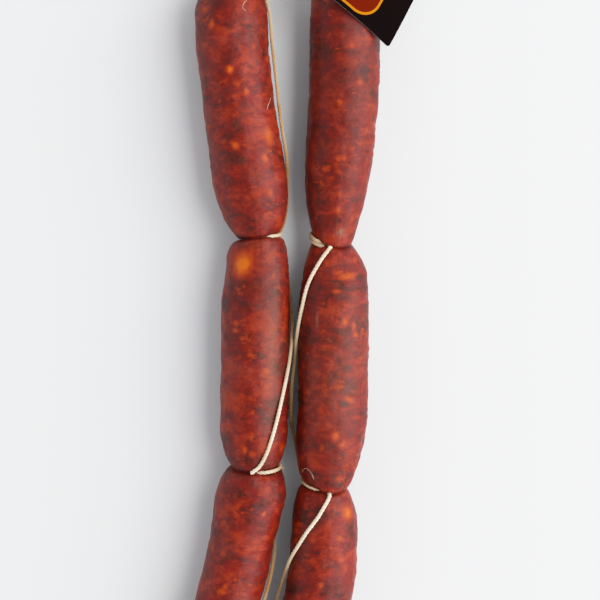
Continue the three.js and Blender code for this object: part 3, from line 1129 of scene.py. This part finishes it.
@dataclass(frozen=True)
class Twine:
    """Three-ply cotton twine along a centre line. Sizes in mm."""

    plies: int = 3
    ply_radius: float = 0.46
    ply_offset: float = 0.38  # from the twine's middle to a ply's
    lay: float = 5.2  # length of one turn of the plies
    sides: int = 8
    step: float = 0.5
    hairs: int = 70
    hair_radius: float = 0.03
    hair_reach: tuple[float, float] = (0.5, 1.1)
    hair_curl: float = 0.8  # most that one bends forwards or back
    hair_points: int = 5
    lint_radius: float = 0.05
    lint_step: float = 0.3

    def frames(self, line: np.ndarray) -> tuple[np.ndarray, np.ndarray]:
        """Two directions across each point of a line, carried along it without twist.

        Args:
            line: The centre line.

        Returns:
            The first and the second direction at each point.
        """
        ahead = np.gradient(line, axis=0)
        ahead /= np.linalg.norm(ahead, axis=1)[:, None]
        first = np.zeros_like(line)
        side = np.cross(ahead[0], (0.0, 0.0, 1.0))
        for i, direction in enumerate(ahead):
            side = side - direction * side.dot(direction)
            side /= np.linalg.norm(side)
            first[i] = side
        return first, np.cross(ahead, first)

    def tube(self, line: np.ndarray, first: np.ndarray, second: np.ndarray, radius: float) -> np.ndarray:
        """Points of rings round a line.

        Args:
            line: The centre line.
            first: First direction across it.
            second: Second direction across it.
            radius: The rings' radius.

        Returns:
            The points, ring by ring.
        """
        turns = np.arange(self.sides) * 2 * math.pi / self.sides
        across = np.cos(turns)[None, :, None] * first[:, None]
        across = across + np.sin(turns)[None, :, None] * second[:, None]
        return (line[:, None] + radius * across).reshape(-1, 3)

    def build(self, name: str, route: np.ndarray, material: bpy.types.Material,
              lint: list[np.ndarray] | None = None) -> bpy.types.Object:
        """Build the twine.

        Args:
            name: The piece's name.
            route: Points of its centre line.
            material: Its finish.
            lint: Points of each stray fibre that it shed.

        Returns:
            The object.
        """
        line = even(route, self.step)
        first, second = self.frames(line)
        travelled = np.arange(len(line)) * self.step
        points: list[np.ndarray] = []
        faces: list[tuple[int, ...]] = []
        for ply in range(self.plies):
            angle = 2 * math.pi * (travelled / self.lay + ply / self.plies)
            out = np.cos(angle)[:, None] * first + np.sin(angle)[:, None] * second
            start = sum(len(p) for p in points)
            points.append(self.tube(line + self.ply_offset * out, first, second, self.ply_radius))
            faces += grid_faces(len(line), self.sides, start)
            faces.append(tuple(start + c for c in reversed(range(self.sides))))
            faces.append(tuple(start + (len(line) - 1) * self.sides + c for c in range(self.sides)))
        self.add_hairs(line, first, second, points, faces)
        for fibre in lint or []:
            course = even(fibre, self.lint_step)
            start = sum(len(p) for p in points)
            points.append(self.tube(course, *self.frames(course), self.lint_radius))
            faces += grid_faces(len(course), self.sides, start)
        return make_piece(name, np.vstack(points), faces, [material])

    def add_hairs(self, line: np.ndarray, first: np.ndarray, second: np.ndarray,
                  points: list[np.ndarray], faces: list[tuple[int, ...]]) -> None:
        """Add short stray fibres to the points and faces of a twine.

        Args:
            line: The centre line.
            first: First direction across it.
            second: Second direction across it.
            points: The twine's points so far.
            faces: Its faces so far.
        """
        draw = np.random.default_rng(SEED)
        for _ in range(self.hairs):
            i = int(draw.integers(2, len(line) - 3))
            angle = draw.uniform(0, 2 * math.pi)
            out = first[i] * math.cos(angle) + second[i] * math.sin(angle)
            ahead = line[i + 1] - line[i - 1]
            ahead /= np.linalg.norm(ahead)
            reach = draw.uniform(*self.hair_reach)
            curl = draw.uniform(-self.hair_curl, self.hair_curl)
            root = line[i] + out * TWINE_RADIUS * 0.8
            path = [root + out * reach * t * 0.45 + ahead * (reach * t * 0.8 + curl * t * t * 0.4)
                    for t in np.linspace(0, 1, self.hair_points)]
            rim = [first[i], second[i] - first[i], -second[i]]
            start = sum(len(p) for p in points)
            points.append(np.array([p + side * self.hair_radius for p in path for side in rim]))
            faces += grid_faces(len(path), len(rim), start)


@dataclass(frozen=True)
class Hanger:
    """The route of the twine between the strands' top ties and through the tag. Sizes in mm."""

    spread: float = 0.8
    shift: float = 2.2
    left: tuple[float, float] = (-300.0, 400.0)  # start and turn round the left tie, degrees
    right: tuple[float, float] = (-100.0, 520.0)  # start and turn round the right tie, degrees
    sag: tuple[tuple[float, float, float], ...] = (
        (-17.5, 160.2, 9.5), (-11, 162.6, 6.6), (-4, 162.8, 6.4), (3, 160.8, 8.6))
    loop: tuple[tuple[float, float, float], ...] = (
        (19.2, 156.2, 20), (19.4, 158.2, 26), (18.4, 160.4, 31.5), (17.5, 161.3, 34.6), (16.4, 162.6, 37.7),
        (13.8, 164.8, 38.6), (11.2, 166.6, 36.6), (10, 166, 31.5), (10.2, 163.4, 25.5), (11.2, 160.2, 20.6))

    def route(self, left: Strand, right: Strand) -> np.ndarray:
        """The centre line of the twine.

        Args:
            left: The left strand.
            right: The right strand.

        Returns:
            Points from the left tie to the loop's end.
        """
        start = ring(left.ties[0], *self.left, self.spread, self.shift)
        middle = ring(right.ties[0], *self.right, self.spread, self.shift)
        return np.vstack([left.places(start, 0.0), self.sag, right.places(middle, 0.0), self.loop])


@dataclass(frozen=True)
class Tag:
    """A card with round corners and a hole, curled over the right top link. Sizes in mm."""

    length: float = 54.0
    width: float = 45.0
    thickness: float = 0.5
    corner: float = 1.4
    corner_step: int = 15  # degrees
    hole_radius: float = 2.5
    hole_inset: float = 6.0  # of its middle, from the end
    hole_sides: int = 32
    turn: float = math.radians(34)
    curl: float = 120.0  # radius that the card is curled to
    rest_angle: float = math.radians(30)  # where on the link it rests, from straight up
    gap: float = 0.6  # between it and the link
    low_corner: tuple[float, float] = (39.3, 112.8)
    grid: float = 1.5  # size of its faces
    edge_clear: float = 0.5  # how far the faces' corners keep off the edge
    hole_clear: float = 0.6  # how far they keep off the hole
    finish: CardFinish = field(default_factory=CardFinish)

    def outline(self) -> np.ndarray:
        """The flat card's edge, with round corners.

        Returns:
            The corners' points in order, one row of x and y for each.
        """
        r = self.corner
        corners = ((self.width - r, self.length - r, 0), (r, self.length - r, 90), (r, r, 180),
                   (self.width - r, r, 270))
        points = []
        for x, y, start in corners:
            for degrees in range(start, start + 91, self.corner_step):
                angle = math.radians(degrees)
                points.append((x + r * math.cos(angle), y + r * math.sin(angle)))
        return np.array(points)

    def flat(self) -> tuple[np.ndarray, list[tuple[int, ...]], list[int], list[int]]:
        """Cut the flat card into small faces.

        Returns:
            Its points, its faces, and the point numbers round its edge and round its hole.
        """
        edge = []
        corners = self.outline()
        for a, b in zip(corners, np.roll(corners, -1, axis=0)):
            count = max(1, round(float(np.linalg.norm(b - a)) / self.grid))
            edge += [a + (b - a) * t / count for t in range(count)]
        middle = np.array([self.width / 2, self.length - self.hole_inset])
        angles = [2 * math.pi * k / self.hole_sides for k in range(self.hole_sides)]
        hole = [middle + self.hole_radius * np.array([math.cos(a), math.sin(a)]) for a in angles]
        inside = [
            np.array([x, y])
            for x in np.arange(self.grid, self.width - self.edge_clear, self.grid)
            for y in np.arange(self.grid, self.length - self.edge_clear, self.grid)
            if np.linalg.norm(np.array([x, y]) - middle) > self.hole_radius + self.hole_clear
        ]
        points = edge + hole + inside
        rim = list(range(len(edge)))
        bore = list(range(len(edge), len(edge) + len(hole)))
        loops = [(loop[k], loop[(k + 1) % len(loop)]) for loop in (rim, bore) for k in range(len(loop))]
        result = delaunay_2d_cdt([Vector(p) for p in points], loops, [], 0, 1e-5)
        found = np.array([tuple(p) for p in result[0]])
        faces = []
        filled = self.hole_radius * 0.98  # faces whose middle is nearer the hole's would fill it
        for face in result[2]:
            centre = found[list(face)].mean(axis=0)
            if np.linalg.norm(centre - middle) > filled:
                faces.append(tuple(face))
        return found, faces, rim, bore

    def curled(self, flat: np.ndarray, up: float, strand: Strand) -> np.ndarray:
        """Lay flat points on the curled card.

        Args:
            flat: Points across and along the card.
            up: Height over the card's underside.
            strand: The strand it lies on.

        Returns:
            The points in space.
        """
        section = strand.section(np.array([self.low_corner[1]]))
        inward = section["radius"][0] + self.gap - self.curl
        x = section["x"][0] + inward * math.sin(self.rest_angle)
        z = section["z"][0] + inward * math.cos(self.rest_angle)
        start = math.asin((self.low_corner[0] - x) / self.curl)
        across, along = flat[:, 0], flat[:, 1]
        angle = start + (across * math.sin(self.turn) - along * math.cos(self.turn)) / self.curl
        y = self.low_corner[1] + along * math.sin(self.turn) + across * math.cos(self.turn)
        radius = self.curl + up
        return np.column_stack([x + radius * np.sin(angle), y, z + radius * np.cos(angle)])

    def build(self, strand: Strand) -> bpy.types.Object:
        """Build the card.

        Args:
            strand: The strand it lies on.

        Returns:
            The object.
        """
        flat, tops, rim, bore = self.flat()
        count = len(flat)
        points = np.vstack([self.curled(flat, self.thickness, strand), self.curled(flat, 0.0, strand)])
        faces = list(tops) + [tuple(reversed([i + count for i in face])) for face in tops]
        cut = []
        for loop in (rim, bore):
            for a, b in zip(loop, loop[1:] + loop[:1]):
                cut.append((a, a + count, b + count, b) if loop is rim else (b, b + count, a + count, a))
        piece = make_piece("card_tag", points, faces + cut,
                           [self.finish.print_material(), self.finish.edge_material()], False)
        indices = [0] * len(faces) + [1] * len(cut)
        piece.data.polygons.foreach_set("material_index", indices)
        along, across = np.tile(flat[:, 1], 2) / PRINT_UNIT, np.tile(flat[:, 0], 2) / PRINT_UNIT
        paint(piece, "print", np.column_stack([along, across, along * 0.0]))
        return piece


@dataclass(frozen=True)
class Studio:
    """The white table, the soft light from the right and the camera over the middle of the photo."""

    view_width: float = 270.0  # mm across the picture, at the links' middle
    view_height: float = 15.0  # height of that plane, mm
    distance: float = 850.0  # camera over that plane, mm
    sensor: float = 36.0  # width of the camera's sensor, mm
    table: Colour = colour("#c2c3c4")
    sky: Colour = (0.97, 0.975, 1.0, 1.0)
    sky_top: float = 0.1  # strength straight up
    sky_foot: float = 2.25  # strength at the horizon
    sky_lean: float = 0.44  # how much brighter the room is on the right
    sky_ends: float = 0.7  # how much darker it is beyond the picture's top and foot
    window_power: float = 62.0  # W
    window_size: tuple[float, float] = (2.2, 2.4)  # m
    window_place: tuple[float, float, float] = (1.6, 0.1, 1.45)  # m
    table_half: float = 5000.0  # half the table's side, mm
    table_grain: float = 6.0  # mm
    shoulder: float = 2.5  # how much the camera's tone curve softens the whites
    curve_steps: int = 8

    def build(self) -> None:
        """Make the camera, the light, the sky, the table and the tone curve."""
        self.camera()
        self.light("window", self.window_place, self.window_size, self.window_power)
        self.heaven()
        self.surface()
        view = bpy.context.scene.view_settings
        view.view_transform = "Standard"
        view.look = "None"
        view.use_curve_mapping = True
        curve = view.curve_mapping.curves[3]
        whole = 1 - math.exp(-self.shoulder)
        for step in range(1, self.curve_steps):
            level = (step / self.curve_steps) ** 1.5
            curve.points.new(level, (1 - math.exp(-self.shoulder * level)) / whole)
        view.curve_mapping.update()

    def camera(self) -> None:
        """Put the camera straight over the photo's middle, looking down."""
        data = bpy.data.cameras.new("camera")
        data.sensor_width = self.sensor
        data.lens = self.sensor * self.distance / self.view_width
        data.clip_start = 0.01
        camera = bpy.data.objects.new("camera", data)
        camera.location = Vector((-MIDDLE[0] * MM, -MIDDLE[1] * MM, (self.view_height + self.distance) * MM))
        bpy.context.scene.collection.objects.link(camera)
        bpy.context.scene.camera = camera

    def light(self, name: str, place: tuple[float, float, float], size: tuple[float, float],
              power: float) -> None:
        """Make a large soft light that faces the object.

        Args:
            name: Its name.
            place: Where it stands, m.
            size: Its width and height, m.
            power: Its power, W.
        """
        data = bpy.data.lights.new(name, "AREA")
        data.shape = "RECTANGLE"
        data.size, data.size_y = size
        data.energy = power
        lamp = bpy.data.objects.new(name, data)
        lamp.location = Vector(place)
        lamp.rotation_euler = (-Vector(place)).to_track_quat("-Z", "Y").to_euler()
        bpy.context.scene.collection.objects.link(lamp)

    def heaven(self) -> None:
        """Make the room's light: bright walls all round, darker straight up behind the camera."""
        world = bpy.data.worlds.new("sky")
        world.use_nodes = True
        tree = world.node_tree
        background = tree.nodes["Background"]
        background.inputs["Color"].default_value = self.sky
        direction = tree.nodes.new("ShaderNodeTexCoord")
        split = tree.nodes.new("ShaderNodeSeparateXYZ")
        tree.links.new(direction.outputs["Generated"], split.inputs[0])
        height = Value(tree, split.outputs["Z"]).larger(0.0)
        right = Value(tree, split.outputs["X"]) * self.sky_lean
        ahead = Value(tree, split.outputs["Y"])
        sides = 1.0 - ahead * ahead * self.sky_ends
        strength = (1.0 - height) * sides * (self.sky_foot - self.sky_top) + self.sky_top
        put(tree, background.inputs["Strength"], strength + right)
        bpy.context.scene.world = world

    def surface(self) -> None:
        """Make the white table."""
        s = Surface("table")
        grain = s.noise(s.place(), self.table_grain * MM, 3.0)
        material = s.finish({"Base Color": self.table, "Roughness": 0.6, "Normal": s.bump(grain, 0.02 * MM),
                             "Specular IOR Level": 0.2})
        half = self.table_half
        corners = np.array([(-half, -half, 0), (half, -half, 0), (half, half, 0), (-half, half, 0)])
        make_piece("table", corners + MIDDLE, [(0, 1, 2, 3)], [material], False)


def left_strand() -> Strand:
    """The left strand's sizes.

    Returns:
        The strand.
    """
    fat, dark = MarkKind.FAT, MarkKind.DARK
    ties = (
        Tie(153.9, -27.0, 3.4, 4.8, 0, 0, 400, 0.95, -2.2),
        Tie(28.1, -18.1, 8.2, 1.5, 0.12, -0.06, -340, 0.2, open_side=74, open_half=38, least=0.4, flank=0.3),
        Tie(-74.9, -19.1, 8.2, 2.2, -0.03, -0.24, -610, 1.0, 0, 2.0,
            open_side=66, open_half=50, least=0.4, flank=0.65),
        Tie(-180.9, -43.5, 3.4, 2.6, 0.1, 0, 400, 0.95),
    )
    upper = Link(
        (-32.8, -18.8), -2.1, (15.9, 16.4), (24, 0.62), (22, 0.83),
        (Swell(92, 90, 1.1, 14), Swell(38, -90, 0.6, 12), Swell(21, 90, 0.8, 14), Swell(118, -85, 1.5, 4)),
        ((8, 62, 0), (21, 78, 0.1), (40, 85, 0.5), (57, 90, 0.8), (72, 88, 0.6), (86, 93, 0.2), (104, 112, 0),
         (121, 116, 0)),
        (Mark(32, -31, 2.4, 1.5, 0.8, fat, -25), Mark(52.2, -7, 1.6, 1.5, 1.1), Mark(61.7, 15, 1.9, 1.3, 0.8),
         Mark(81, 46, 4.6, 2.8, 0.8), Mark(85.5, -12.5, 2.0, 1.8, 0.9), Mark(91, 33, 1.9, 1.7, 0.85),
         Mark(106.6, 32, 2.0, 1.6, 0.6), Mark(24.8, -45, 1.8, 3.0, 0.55), Mark(92, 10, 16, 14, 0.12),
         Mark(66, -9.5, 1.2, 1.5, 0.95, dark), Mark(47, -8, 3.4, 2.2, 0.7, dark),
         Mark(22, -22, 3.0, 4.5, 0.6, dark), Mark(35, -62, 4.5, 4.0, 0.5, dark)),
    )
    middle = Link(
        (-19.1, -21.0), -0.2, (15.5, 15.2), (38, 0.35), (17, 0.53),
        (Swell(5.5, -90, 2.2, 4.5), Swell(30, -90, 0.3, 10), Swell(70, 40, 0.4, 16)),
        ((4, 125, 0), (27, 112, 0), (38, 95, 0), (50.5, 77, 0), (66, 55, 0), (82, 37.6, 0), (94.5, 20.5, 0),
         (99, 8, 0.1), (101.6, -6, 0.2)),
        # The first, pale mark is a painted highlight: a long band down the right flank.
        (Mark(52, 32, 32, 4.0, 0.22, MarkKind.PALE), Mark(11.3, -29, 5.2, 4.4, 1.45),
         Mark(11, -16, 5.0, 5.5, 0.32), Mark(41.6, -34, 1.2, 2.0, 0.6), Mark(92.3, -16, 1.5, 1.5, 0.8),
         Mark(17.3, 32, 1.6, 1.2, 0.45), Mark(76.7, 19, 0.7, 0.7, 1.0, dark),
         Mark(21.4, -42, 5.0, 4.5, 0.9, dark), Mark(21, -2, 4.2, 7.0, 0.8, dark),
         Mark(2.5, -10, 3.0, 9.0, 0.6, dark), Mark(24, 5, 16, 16, 0.38, dark)),
    )
    lower = Link(
        (-20.3, -48.3), 3.7, (15.2, 14.8), (14, 0.35), (24, 0.62),
        (Swell(16, 90, 0.6, 9), Swell(34, 80, -0.5, 12), Swell(13, -90, 1.3, 8)),
        ((4.5, 126, 0), (20, 130, 0), (32, 120, 0), (39, 102, 0.1), (52, 88, 0.3), (62, 88, 0.2), (84, 97, 0),
         (99, 100, 0)),
        (Mark(18.7, 28, 1.6, 1.5, 0.7), Mark(52, -11, 1.5, 1.5, 0.6)),
    )
    lint = (
        ((84.6, 50, -0.98), (86.4, 53, -0.95), (88.4, 59, -0.8), (90.2, 62, -0.6)),
        ((133.0, 30, -1.0), (131.2, 24, -1.0), (129.4, 22, -1.0), (127.8, 27, -1.0)),
    )
    return Strand(Side.LEFT, ties, (upper, middle, lower), lint)


def right_strand() -> Strand:
    """The right strand's sizes.

    Returns:
        The strand.
    """
    pale = MarkKind.PALE
    ties = (
        Tie(152.1, 13.5, 3.4, 4.8, 0, 0, -400, 0.95, -2.2),
        Tie(27.2, 14.2, 8.2, 2.2, -0.18, -0.46, 475, 0.85, open_side=-84, open_half=42, least=0.3, flank=0.5),
        Tie(-82.6, 10.3, 8.2, 2.2, -0.1, -0.36, 485, 0.85, 0, -2.2,
            open_side=-72, open_half=54, least=0.4, flank=0.5),
        Tie(-182.7, -3.2, 3.4, 2.6, 0.08, 0, -400, 0.95),
    )
    upper = Link(
        (20.4, 15.4), 1.3, (15.9, 14.8), (24, 0.62), (43, 0.69),
        (Swell(54, 90, 0.9, 20), Swell(96, -90, 0.7, 18)),
        ((8, -108, 0), (30, -122, 0), (60, -128, 0), (92, -125, 0), (112, -120, 0), (120.5, -120, 0)),
        (Mark(39.2, 11.7, 1.5, 1.5, 0.6), Mark(55.8, 27, 1.6, 1.4, 0.6), Mark(76.5, 46, 1.4, 1.4, 0.5),
         Mark(89, 8, 1.8, 1.4, 0.6), Mark(109, 7, 1.8, 1.5, 0.6), Mark(112.5, 41, 1.5, 1.5, 0.5),
         Mark(117.7, 17, 1.3, 1.4, 0.7, pale), Mark(56, 10, 48, 30, 0.4, MarkKind.DARK)),
    )
    middle = Link(
        (15.7, 12.7), 0.9, (15.0, 16.5), (24, 0.98), (30, 0.5),
        (Swell(39, -90, 0.9, 14), Swell(77, -90, -0.6, 12), Swell(14, 40, 0.4, 8),
         Swell(8.5, 80, 4.0, 6.5), Swell(5, 85, 1.6, 3)),
        ((0.9, -8, 0), (4.2, -20, 0), (10.6, -36, 0), (19, -49, 0), (30, -60, 0), (42, -73, 0),
         (54, -91, 0.3), (66, -96, 1.8), (79, -103, 2.1), (94, -116, 0.8), (105.5, -120, 0)),
        (Mark(12.2, 25, 1.7, 4.6, 0.9, MarkKind.FAT, 12), Mark(21.4, 3, 1.4, 2.2, 0.65),
         Mark(36.7, 17.5, 2.1, 1.5, 0.85), Mark(39, 33, 2.2, 1.3, 0.6),
         Mark(60, 8, 30, 10, 0.09, pale),
         Mark(71.3, 28, 1.4, 3.2, 0.75, MarkKind.FAT, -25), Mark(86.2, 7, 1.7, 1.8, 0.75),
         Mark(89.3, 19, 1.4, 2.0, 0.7), Mark(90.7, -14, 1.4, 1.4, 0.5), Mark(108.7, 14, 1.2, 1.4, 0.4),
         Mark(35.8, -31, 3.6, 0.5, 0.5, pale), Mark(34, -4, 3.4, 0.35, 0.3, pale)),
    )
    lower = Link(
        (10.7, -7.3), 6.3, (14.6, 15.9), (19, 0.49), (24, 0.62),
        (Swell(44, 90, 0.7, 12), Swell(20, 30, 0.4, 9)),
        ((0.9, 12, 0), (4.2, 3, 0), (16.4, -25, 0), (27, -48, 0), (37, -75, 0), (46, -92, 0.9),
         (55, -99, 1.8), (72, -106, 1.2), (93, -108, 0)),
        (Mark(9.2, 50, 3.3, 3.4, 1.0), Mark(43.9, 0, 1.5, 1.4, 0.6), Mark(22.7, -20, 2.0, 2.0, 0.5)),
    )
    lint = (
        ((-75.8, -58, -1.0), (-73.6, -50, -1.0), (-73.0, -40, -1.0), (-74.6, -31, -1.0), (-76.8, -26, -1.0)),
    )
    return Strand(Side.RIGHT, ties, (upper, middle, lower), lint)


def main() -> None:
    """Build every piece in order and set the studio."""
    logging.basicConfig(level=logging.INFO, format="%(message)s")
    Studio().build()
    casing = CasingFinish().material()
    cotton = TwineFinish().material()
    left, right = left_strand(), right_strand()
    twine = Twine()
    for strand in (left, right):
        name = strand.side.value
        settle(strand.casing(casing), f"links_{name}")
        lint = [strand.places(list(fibre), 1.0) for fibre in strand.lint]
        settle(twine.build(f"cotton_{name}", strand.route(), cotton, lint), f"twine_{name}")
    settle(twine.build("cotton_hanger", Hanger().route(left, right), cotton), "twine_hanger")
    settle(Tag().build(right), "tag")


if __name__ == "__main__":
    main()
